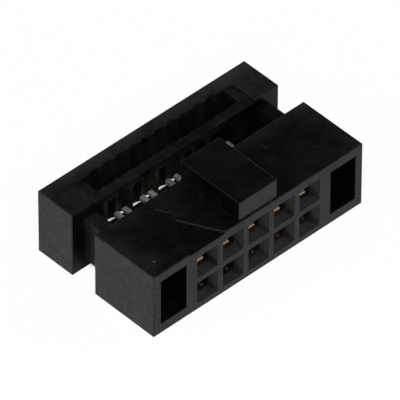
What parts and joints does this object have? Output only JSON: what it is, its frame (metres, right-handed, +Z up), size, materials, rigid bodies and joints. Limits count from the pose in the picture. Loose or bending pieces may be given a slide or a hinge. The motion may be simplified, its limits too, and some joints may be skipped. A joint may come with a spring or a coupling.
{
  "type": "ribbon cable socket",
  "caption": "Low black two-row ribbon cable socket with square pin mouths, a key on top, forked contacts and a sliding cable clamp cover shown open.",
  "frame": {"origin": "on the surface it lies on, under the middle of its box with the cover open", "axes": "+X along the rows of contacts, away from the pin-one end; -Y out of the mating face; +Z up through the key"},
  "size_m": [0.0208, 0.0124, 0.0077],
  "materials": {
    "black_moulding": "satin glass-filled polyester",
    "plated_strip": "tin over bronze, gold at the pin end"
  },
  "bodies": {
    "socket": {"housing": "black_moulding", "contact_1": "plated_strip", "contact_2": "plated_strip", "contact_3": "plated_strip", "contact_4": "plated_strip", "contact_5": "plated_strip", "contact_6": "plated_strip", "contact_7": "plated_strip", "contact_8": "plated_strip", "contact_9": "plated_strip", "contact_10": "plated_strip"},
    "clamp": {"cover": "black_moulding"}
  },
  "joints": [
    {"name": "cover_close", "type": "slide", "parent": "socket", "child": "clamp", "axis": [0, -1, 0], "range_m": [0, 0.00216]}
  ]
}
